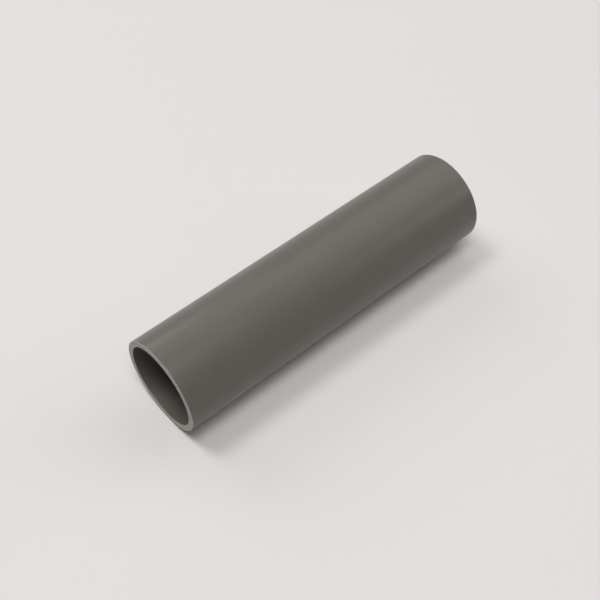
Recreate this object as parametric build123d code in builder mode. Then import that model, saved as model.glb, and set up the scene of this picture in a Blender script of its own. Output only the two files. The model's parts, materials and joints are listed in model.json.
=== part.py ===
"""A cut length of grey rigid PVC conduit, lying on its side along X on the plane Z = 0."""

import os

from build123d import *

# Driving dimensions, in millimetres: 2 in trade size, Schedule 40
outside_diameter = 60.33
wall_thickness = 3.91
pipe_length = 227.0
edge_break = 0.3  # bevel left on each rim by deburring the saw cut

outside_radius = outside_diameter / 2
bore_radius = outside_radius - wall_thickness

# The section stands square to X, with its centre one radius above the ground
section_plane = Plane(origin=(0, 0, outside_radius), x_dir=(0, 1, 0), z_dir=(1, 0, 0))

# Pipe: the ring section, extruded both ways from the middle, then deburred at both cuts
with BuildPart() as pipe:
    with BuildSketch(section_plane):
        Circle(outside_radius)
        Circle(bore_radius, mode=Mode.SUBTRACT)
    extrude(amount=pipe_length / 2, both=True)
    rims = pipe.edges().filter_by(GeomType.CIRCLE)
    chamfer(rims, length=min(edge_break, wall_thickness / 3))
pipe.part.label = "pipe"

os.makedirs("parts", exist_ok=True)
export_step(pipe.part, "parts/pipe.step")
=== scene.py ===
"""Looks of a short cut length of grey rigid PVC pipe: drawn wall, sawn and deburred ends, and its light."""

import json
import math

import bmesh
import bpy
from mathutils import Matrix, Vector, noise


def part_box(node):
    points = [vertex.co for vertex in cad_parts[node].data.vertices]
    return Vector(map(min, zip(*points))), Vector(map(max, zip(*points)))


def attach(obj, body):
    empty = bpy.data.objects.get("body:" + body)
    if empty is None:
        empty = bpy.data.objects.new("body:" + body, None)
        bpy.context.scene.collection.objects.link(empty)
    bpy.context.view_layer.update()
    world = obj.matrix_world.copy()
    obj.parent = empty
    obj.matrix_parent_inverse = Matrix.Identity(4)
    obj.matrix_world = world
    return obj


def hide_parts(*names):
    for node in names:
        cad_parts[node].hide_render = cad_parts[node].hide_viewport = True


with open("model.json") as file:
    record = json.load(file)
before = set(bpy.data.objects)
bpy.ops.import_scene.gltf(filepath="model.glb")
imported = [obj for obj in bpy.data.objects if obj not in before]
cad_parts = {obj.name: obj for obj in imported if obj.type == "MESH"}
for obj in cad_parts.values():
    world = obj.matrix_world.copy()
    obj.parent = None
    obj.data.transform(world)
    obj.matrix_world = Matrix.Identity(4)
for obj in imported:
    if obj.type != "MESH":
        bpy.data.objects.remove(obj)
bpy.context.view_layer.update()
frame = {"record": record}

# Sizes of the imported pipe, in metres
MM = 0.001
mounts = {mount["name"]: mount for mount in frame["record"]["mounts"]}
outside_radius = mounts["spigot_near"]["dims"]["r_mm"] * MM
bore_radius = mounts["bore"]["dims"]["r_mm"] * MM
mid_wall = (outside_radius + bore_radius) / 2
axis_point = Vector(mounts["bore"]["pos_m"])
pipe_low, pipe_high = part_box("pipe")
near_end = pipe_low.x
far_end = pipe_high.x

# How finely the pipe is divided
turn_slices = 24  # the wall is spun as one slice of the turn, then copied round
slice_steps = 30
ring_cells = 14  # across the wall at a cut, fine enough for the saw marks
rim_segments = 4
tolerance = 0.005 * MM  # points nearer than this are one

# Deburred rims: a round on each edge of both cuts
rim_round = 0.35 * MM
rim_stray = 0.35  # share of the round by which the hand-held tool strays
rim_stray_span = 9 * MM  # along a rim, over which that stray changes
rim_hold = 4 * rim_round  # a loop this far from each cut keeps the wall's shading straight

# Saw marks: arcs of a 10 in blade across both cuts
blade_radius = 127 * MM
blade_centre = Vector((0, 0.5, 0.85)) * blade_radius  # from the axis: above it, to the +Y side
saw_mark_spacing = 1.6 * MM
saw_mark_depth = 0.05 * MM
saw_cut_offset = 5.5  # sets the noise of the two cuts apart, so that their marks differ

# Nick: one short slanting dent on the -Y side, near the near end
nick_from_near_end = 29.8 * MM
nick_clock = math.radians(5.5)  # above the level of the axis
nick_slant = math.radians(-37)  # from the pipe's length, falling towards the far end
nick_length = 4.6 * MM
nick_width = 1.3 * MM
nick_depth = 0.3 * MM
nick_lip = 0.04 * MM
nick_lip_reach = 1.7  # half lengths and widths of the nick over which its lip dies out
nick_cell = 0.25 * MM  # length of the mesh's cells round the nick

# Finishes, in the order of the pipe's material slots
drawn_slot = 0
sawn_slot = 1
bore_slot = 2

# Rigid PVC: its IOR, the real sizes of the patterns in its finishes, and the height of their relief
pvc_ior = 1.54
cloud_size = 16 * MM
band_length = 700 * MM
band_width = 8 * MM
die_line_length = 400 * MM
die_line_width = 1 * MM  # really finer, drawn this coarse so that it shows at all
skin_grain = 0.7 * MM
skin_grain_share = 0.4  # of the die lines' height
skin_relief = 0.006 * MM
torn_grain = 0.6 * MM
torn_contrast = 0.2
torn_relief = 0.02 * MM
bore_line_length = 500 * MM
bore_line_width = 1.5 * MM  # really finer, drawn this coarse so that it shows at all
bore_relief = 0.01 * MM

# Sockets of a Mix node that mixes colours: its other kinds use the same names, so these are by number
mix_factor = 0
mix_a = 6
mix_b = 7
mix_result = 2


def linear(hex_colour):
    """An sRGB hex colour as the linear RGBA that sockets take."""
    channels = [int(hex_colour[i:i + 2], 16) / 255 for i in (1, 3, 5)]
    return [c / 12.92 if c <= 0.04045 else ((c + 0.055) / 1.055) ** 2.4 for c in channels] + [1.0]


def per_metre(size):
    """A pattern's scale on Object coordinates, from the real size of one of its features."""
    return 1 / size


def along_pipe(length, width):
    """A pattern's scale where its features are drawn out along the pipe."""
    return per_metre(length), per_metre(width), per_metre(width)


def add_node(tree, kind, settings=None, inputs=None):
    """Adds a node with its own settings; each input is a plain value or the socket that feeds it."""
    made = tree.nodes.new(kind)
    for name, value in (settings or {}).items():
        setattr(made, name, value)
    for socket, value in (inputs or {}).items():
        if isinstance(value, bpy.types.NodeSocket):
            tree.links.new(value, made.inputs[socket])
        else:
            made.inputs[socket].default_value = value
    return made


def new_material(name):
    """A node material with an empty tree."""
    material = bpy.data.materials.new(name)
    material.use_nodes = True
    material.node_tree.nodes.clear()
    return material, material.node_tree


def new_object(name, shape):
    """An object in the scene from a finished bmesh."""
    mesh = bpy.data.meshes.new(name)
    shape.to_mesh(mesh)
    shape.free()
    made = bpy.data.objects.new(name, mesh)
    bpy.context.scene.collection.objects.link(made)
    return made


# Pipe
def clock_of(point):
    """The angle round the axis above the -Y side, and the distance from the axis."""
    across = point - axis_point
    return math.atan2(across.z, -across.y), math.hypot(across.y, across.z)


def moved(point, along, outward):
    """A point shifted along the axis and away from it."""
    spoke = (point - axis_point) * Vector((0, 1, 1))
    return point + Vector((along, 0, 0)) + spoke.normalized() * outward


def wall_section():
    """The wall cut lengthwise above the axis: a closed outline with rounded rims, split for its relief."""
    section = bmesh.new()
    nick_start = near_end + nick_from_near_end - nick_length
    nick_end = near_end + nick_from_near_end + nick_length
    outline = [
        (near_end, bore_radius),
        (near_end, outside_radius),
        (near_end + rim_hold, outside_radius),
        (nick_start, outside_radius),
        (nick_end, outside_radius),
        (far_end - rim_hold, outside_radius),
        (far_end, outside_radius),
        (far_end, bore_radius),
        (far_end - rim_hold, bore_radius),
        (near_end + rim_hold, bore_radius),
    ]
    points = [section.verts.new((x, 0, axis_point.z + radius)) for x, radius in outline]
    for start, end in zip(points, points[1:] + points[:1]):
        section.edges.new((start, end))
    rims = [point for point, (x, _) in zip(points, outline) if x in (near_end, far_end)]
    nick_first = outline.index((nick_start, outside_radius))
    nick_run = section.edges.get(points[nick_first:nick_first + 2])
    bmesh.ops.bevel(
        section, geom=rims, offset=rim_round, affect="VERTICES", segments=rim_segments,
        profile=0.5, material=-1,
    )
    cuts = [edge for edge in section.edges if abs(edge.verts[0].co.z - edge.verts[1].co.z) > rim_round]
    bmesh.ops.subdivide_edges(section, edges=[nick_run], cuts=round(2 * nick_length / nick_cell) - 1)
    bmesh.ops.subdivide_edges(section, edges=cuts, cuts=ring_cells - 1)
    return section


def spin_wall(section):
    """The section turned about the axis into a closed wall."""
    slice_angle = math.tau / turn_slices
    bmesh.ops.spin(
        section, geom=section.verts[:] + section.edges[:], cent=axis_point, axis=(1, 0, 0),
        angle=slice_angle, steps=slice_steps,
    )
    first_slice = section.verts[:] + section.edges[:] + section.faces[:]
    bmesh.ops.spin(
        section, geom=first_slice, cent=axis_point, axis=(1, 0, 0),
        angle=math.tau - slice_angle, steps=turn_slices - 1, use_duplicate=True,
    )
    bmesh.ops.remove_doubles(section, verts=section.verts, dist=tolerance)
    bmesh.ops.recalc_face_normals(section, faces=section.faces)


def give_finishes(wall):
    """Tells the cuts, the outside and the bore apart, each with its own finish."""
    for face in wall.faces:
        face.smooth = True
        centre = face.calc_center_median()
        if min(centre.x - near_end, far_end - centre.x) < rim_round:
            face.material_index = sawn_slot
        elif clock_of(centre)[1] > mid_wall:
            face.material_index = drawn_slot
        else:
            face.material_index = bore_slot


def saw_swing(point):
    """How far the blade bit in at a point of a cut, from 0 to 1, along arcs about the blade's centre."""
    reach = (point - axis_point - blade_centre).yz.length / saw_mark_spacing
    return 0.5 + 0.5 * noise.noise(Vector((reach, math.copysign(saw_cut_offset, point.x), 0)))


def rim_wander(point):
    """How much wider or narrower than its nominal size the deburred round is at a place along a rim."""
    return rim_stray * noise.noise(point / rim_stray_span)


def saw_and_deburr(wall):
    """Leaves the blade's arcs on both cuts, and rims of slightly uneven round."""
    saw_mark = wall.verts.layers.float.new("saw_mark")
    for vert in wall.verts:
        cut = near_end if vert.co.x < axis_point.x else far_end
        from_cut = vert.co.x - cut
        if abs(from_cut) < rim_round + tolerance:
            radius = clock_of(vert.co)[1]
            from_corner = radius - (outside_radius if radius > mid_wall else bore_radius)
            on_rim = abs(from_corner) < rim_round + tolerance
            wander = rim_wander(vert.co) if on_rim else 0
            vert[saw_mark] = saw_swing(vert.co)
            bite = saw_mark_depth * vert[saw_mark] * max(0, 1 - abs(from_cut) / rim_round)
            inward = -math.copysign(bite, cut)
            vert.co = moved(vert.co, inward + wander * from_cut, wander * from_corner)


def nick_distance(point):
    """How far a point of the outside lies from the nick's middle: 1 at the nick's edge."""
    along = point.x - near_end - nick_from_near_end
    around = outside_radius * (clock_of(point)[0] - nick_clock)
    lengthwise = along * math.cos(nick_slant) + around * math.sin(nick_slant)
    sideways = around * math.cos(nick_slant) - along * math.sin(nick_slant)
    return math.hypot(lengthwise / (nick_length / 2), sideways / (nick_width / 2))


def press_nick(wall):
    """Dents the nick into the outside, with a low lip where the plastic was pushed up."""
    nick = wall.verts.layers.float.new("nick")
    for vert in wall.verts:
        distance = nick_distance(vert.co)
        if distance < nick_lip_reach and clock_of(vert.co)[1] > mid_wall:
            vert[nick] = max(0, 1 - distance ** 2) ** 2
            lip_share = math.sin(math.pi * max(0, distance - 1) / (nick_lip_reach - 1)) ** 2
            vert.co = moved(vert.co, 0, nick_lip * lip_share - nick_depth * vert[nick])


def cut_pipe():
    """The whole pipe as one closed piece."""
    wall = wall_section()
    spin_wall(wall)
    give_finishes(wall)
    saw_and_deburr(wall)
    press_nick(wall)
    return new_object("cut_pipe", wall)


def drawn_pvc():
    """Rigid PVC drawn through a sizing die: warm grey, with a satin skin and faint marks along it."""
    material, tree = new_material("drawn_rigid_pvc")
    place = add_node(tree, "ShaderNodeTexCoord").outputs["Object"]
    # Pigment that is not quite evenly mixed gives clouds a few levels apart
    cloud = add_node(
        tree, "ShaderNodeTexNoise", inputs={"Vector": place, "Scale": per_metre(cloud_size), "Detail": 3}
    )
    shade = add_node(
        tree, "ShaderNodeMix", {"data_type": "RGBA"},
        {mix_factor: cloud.outputs[0], mix_a: linear("#56534C"), mix_b: linear("#5D5A53")},
    )
    # Broad bands where the die polished the skin more or less
    band_scale = along_pipe(band_length, band_width)
    band_place = add_node(tree, "ShaderNodeMapping", inputs={"Vector": place, "Scale": band_scale})
    bands = add_node(
        tree, "ShaderNodeTexNoise", inputs={"Vector": band_place.outputs[0], "Scale": 1, "Detail": 2}
    )
    roughness = add_node(
        tree, "ShaderNodeMapRange",
        inputs={
            "Value": bands.outputs[0], "From Min": 0.3, "From Max": 0.7,
            "To Min": 0.30, "To Max": 0.34,
        },
    )
    # Fine die lines over a fine grain
    line_scale = along_pipe(die_line_length, die_line_width)
    line_place = add_node(tree, "ShaderNodeMapping", inputs={"Vector": place, "Scale": line_scale})
    lines = add_node(
        tree, "ShaderNodeTexNoise", inputs={"Vector": line_place.outputs[0], "Scale": 1, "Detail": 3}
    )
    grain = add_node(
        tree, "ShaderNodeTexNoise", inputs={"Vector": place, "Scale": per_metre(skin_grain), "Detail": 2}
    )
    skin = add_node(
        tree, "ShaderNodeMath", {"operation": "MULTIPLY_ADD"},
        {0: grain.outputs[0], 1: skin_grain_share, 2: lines.outputs[0]},
    )
    bump = add_node(
        tree, "ShaderNodeBump",
        inputs={"Height": skin.outputs[0], "Distance": skin_relief, "Strength": 1.0},
    )
    # The nick is darker in colour, most where it is deepest
    nick = add_node(tree, "ShaderNodeAttribute", {"attribute_name": "nick"})
    nick_darkened = add_node(
        tree, "ShaderNodeMix", {"data_type": "RGBA"},
        {mix_factor: nick.outputs["Fac"], mix_a: shade.outputs[mix_result], mix_b: linear("#3E3B36")},
    )
    surface = add_node(
        tree, "ShaderNodeBsdfPrincipled",
        inputs={
            "Base Color": nick_darkened.outputs[mix_result], "Roughness": roughness.outputs[0],
            "IOR": pvc_ior, "Normal": bump.outputs[0],
        },
    )
    add_node(tree, "ShaderNodeOutputMaterial", inputs={"Surface": surface.outputs[0]})
    return material


def sawn_pvc():
    """Rigid PVC as the saw leaves it: torn skin that scatters light, so paler and duller than the wall."""
    material, tree = new_material("sawn_rigid_pvc")
    place = add_node(tree, "ShaderNodeTexCoord").outputs["Object"]
    # The blade's arcs: where it bit less, the skin was rubbed and is paler
    saw_mark = add_node(tree, "ShaderNodeAttribute", {"attribute_name": "saw_mark"})
    shade = add_node(
        tree, "ShaderNodeMix", {"data_type": "RGBA"},
        {mix_factor: saw_mark.outputs["Fac"], mix_a: linear("#A7A59F"), mix_b: linear("#96948E")},
    )
    # Torn grain
    grain = add_node(
        tree, "ShaderNodeTexNoise", inputs={"Vector": place, "Scale": per_metre(torn_grain), "Detail": 4}
    )
    torn = add_node(
        tree, "ShaderNodeMix", {"data_type": "RGBA", "blend_type": "OVERLAY"},
        {mix_factor: torn_contrast, mix_a: shade.outputs[mix_result], mix_b: grain.outputs[0]},
    )
    bump = add_node(
        tree, "ShaderNodeBump",
        inputs={"Height": grain.outputs[0], "Distance": torn_relief, "Strength": 1.0},
    )
    surface = add_node(
        tree, "ShaderNodeBsdfPrincipled",
        inputs={
            "Base Color": torn.outputs[mix_result], "Roughness": 0.65,
            "IOR": pvc_ior, "Normal": bump.outputs[0],
        },
    )
    add_node(tree, "ShaderNodeOutputMaterial", inputs={"Surface": surface.outputs[0]})
    return material


def bore_pvc():
    """Rigid PVC drawn over the mandrel: the same grey and satin skin, with lines along the bore."""
    material, tree = new_material("bore_rigid_pvc")
    place = add_node(tree, "ShaderNodeTexCoord").outputs["Object"]
    # Lines that the mandrel left
    line_scale = along_pipe(bore_line_length, bore_line_width)
    line_place = add_node(tree, "ShaderNodeMapping", inputs={"Vector": place, "Scale": line_scale})
    lines = add_node(
        tree, "ShaderNodeTexNoise", inputs={"Vector": line_place.outputs[0], "Scale": 1, "Detail": 3}
    )
    shade = add_node(
        tree, "ShaderNodeMix", {"data_type": "RGBA"},
        {mix_factor: lines.outputs[0], mix_a: linear("#5B5851"), mix_b: linear("#636059")},
    )
    bump = add_node(
        tree, "ShaderNodeBump",
        inputs={"Height": lines.outputs[0], "Distance": bore_relief, "Strength": 1.0},
    )
    surface = add_node(
        tree, "ShaderNodeBsdfPrincipled",
        inputs={
            "Base Color": shade.outputs[mix_result], "Roughness": 0.32,
            "IOR": pvc_ior, "Normal": bump.outputs[0],
        },
    )
    add_node(tree, "ShaderNodeOutputMaterial", inputs={"Surface": surface.outputs[0]})
    return material


pipe = cut_pipe()
for finish in (drawn_pvc(), sawn_pvc(), bore_pvc()):
    pipe.data.materials.append(finish)
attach(pipe, "root")
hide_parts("pipe")

# Stage: lamp sizes and distances in metres, angles in degrees
pale_tone = "#E4E0DE"  # floor and backdrop
floor_radius = 1.6
floor_sides = 96
lamp_distance = 4.0
backdrop_strength = 0.88  # as bright as the floor's edge, so that the horizon hardly shows
camera_target = Vector((-13.3, -4.5, 30.2)) * MM
camera_azimuth = -40.83
camera_elevation = 51.83
camera_distance = 0.613
camera_lens = 61.24  # in mm, for the sensor below
camera_sensor = 36  # in mm


def pale_floor():
    """A plain pale table top."""
    material, tree = new_material("pale_floor")
    surface = add_node(
        tree, "ShaderNodeBsdfPrincipled", inputs={"Base Color": linear(pale_tone), "Roughness": 0.7}
    )
    add_node(tree, "ShaderNodeOutputMaterial", inputs={"Surface": surface.outputs[0]})
    top = bmesh.new()
    bmesh.ops.create_circle(top, cap_ends=True, segments=floor_sides, radius=floor_radius)
    made = new_object("pale_floor", top)
    made.data.materials.append(material)


def direction(azimuth, elevation):
    """Unit vector towards a place round the object: azimuth 0 is the -Y side, 90 the +X side."""
    turn = math.radians(azimuth)
    rise = math.radians(elevation)
    return Vector((math.sin(turn) * math.cos(rise), -math.cos(turn) * math.cos(rise), math.sin(rise)))


def soft_box(name, azimuth, elevation, width, height, watts):
    """A soft box turned to the pipe."""
    lamp = bpy.data.lights.new(name, "AREA")
    lamp.shape = "RECTANGLE"
    lamp.size = width
    lamp.size_y = height
    lamp.energy = watts
    made = bpy.data.objects.new(name, lamp)
    away = direction(azimuth, elevation)
    made.location = axis_point + away * lamp_distance
    made.rotation_euler = away.to_track_quat("Z", "Y").to_euler()
    made.visible_camera = False
    bpy.context.scene.collection.objects.link(made)


def studio_light():
    """Soft boxes high over the front and the back, and broader ones lower behind and on the right."""
    soft_box("left_top", azimuth=318, elevation=77, width=1.2, height=1.2, watts=35)
    soft_box("front_high", azimuth=330, elevation=66, width=1.8, height=1.8, watts=42)
    soft_box("back_high", azimuth=213, elevation=67, width=1.1, height=1.1, watts=45)
    soft_box("behind_low", azimuth=185, elevation=34, width=3.0, height=1.9, watts=36)
    soft_box("right_high", azimuth=110, elevation=52, width=4.5, height=2.4, watts=27)
    soft_box("right_low", azimuth=65, elevation=28, width=3.2, height=1.6, watts=22)


def pale_backdrop():
    """A plain backdrop that the camera and gloss see; all other light is the soft boxes' own."""
    world = bpy.data.worlds.new("pale_backdrop")
    world.use_nodes = True
    tree = world.node_tree
    tree.nodes.clear()
    ray = add_node(tree, "ShaderNodeLightPath")
    mirrored = add_node(
        tree, "ShaderNodeMath", {"operation": "MAXIMUM"},
        {0: ray.outputs["Is Glossy Ray"], 1: ray.outputs["Is Transmission Ray"]},
    )
    seen = add_node(
        tree, "ShaderNodeMath", {"operation": "MAXIMUM"},
        {0: ray.outputs["Is Camera Ray"], 1: mirrored.outputs[0]},
    )
    strength = add_node(
        tree, "ShaderNodeMath", {"operation": "MULTIPLY"}, {0: seen.outputs[0], 1: backdrop_strength}
    )
    backdrop = add_node(
        tree, "ShaderNodeBackground",
        inputs={"Color": linear(pale_tone), "Strength": strength.outputs[0]},
    )
    add_node(tree, "ShaderNodeOutputWorld", inputs={"Surface": backdrop.outputs[0]})
    bpy.context.scene.world = world


def photo_camera():
    """The camera at the photograph's viewing angle."""
    camera = bpy.data.cameras.new("photo_camera")
    camera.lens = camera_lens
    camera.sensor_width = camera_sensor
    made = bpy.data.objects.new("photo_camera", camera)
    back = direction(camera_azimuth, camera_elevation)
    made.location = camera_target + back * camera_distance
    made.rotation_euler = back.to_track_quat("Z", "Y").to_euler()
    bpy.context.scene.collection.objects.link(made)
    bpy.context.scene.camera = made


pale_floor()
studio_light()
pale_backdrop()
photo_camera()
bpy.context.scene.view_settings.view_transform = "Standard"
